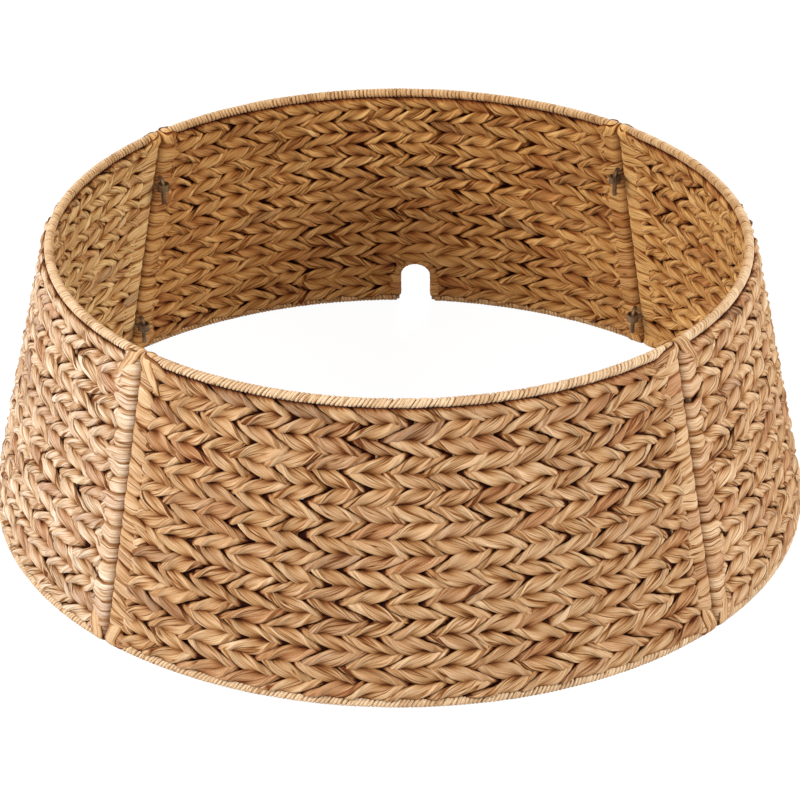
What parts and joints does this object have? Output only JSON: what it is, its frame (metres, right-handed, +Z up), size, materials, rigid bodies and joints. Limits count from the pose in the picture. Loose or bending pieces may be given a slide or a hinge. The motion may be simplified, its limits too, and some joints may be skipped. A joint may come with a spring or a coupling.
{
  "type": "christmas tree collar",
  "caption": "Woven wicker collar of joined curved panels that stands on the floor and hides a Christmas tree's stand.",
  "frame": {"origin": "centre of the base circle, on the floor", "axes": "+Z up, the front panel's middle towards -Y, the panel with the cable notch towards +Y"},
  "size_m": [0.76, 0.76, 0.267],
  "materials": {
    "woven_strands": "matte dried plant strands",
    "rim_cord": "matte wound cord",
    "frame_wire": "dull wire",
    "hook_steel": "dull galvanised"
  },
  "bodies": {
    "back_panel": {"back_frame": "frame_wire", "back_stakes": "frame_wire", "back_weave": "woven_strands", "back_top_binding": "rim_cord", "back_bottom_binding": "rim_cord", "back_hook_pins": "hook_steel", "back_notch_wire": "frame_wire"},
    "front_panel": {"front_frame": "frame_wire", "front_stakes": "frame_wire", "front_weave": "woven_strands", "front_top_binding": "rim_cord", "front_bottom_binding": "rim_cord", "front_hook_pins": "hook_steel"},
    "left_panel": {"left_frame": "frame_wire", "left_stakes": "frame_wire", "left_weave": "woven_strands", "left_top_binding": "rim_cord", "left_bottom_binding": "rim_cord", "left_hook_rings": "hook_steel"},
    "right_panel": {"right_frame": "frame_wire", "right_stakes": "frame_wire", "right_weave": "woven_strands", "right_top_binding": "rim_cord", "right_bottom_binding": "rim_cord", "right_hook_rings": "hook_steel"}
  },
  "joints": [
    {"name": "right_lift", "type": "slide", "parent": "left_panel", "child": "right_panel", "axis": [0, 0, 1], "range_m": [0, 0.023]},
    {"name": "front_lift", "type": "slide", "parent": "right_panel", "child": "front_panel", "axis": [0, 0, 1], "range_m": [0, 0.023]},
    {"name": "back_lift", "type": "slide", "parent": "right_panel", "child": "back_panel", "axis": [0, 0, 1], "range_m": [0, 0.023]}
  ]
}
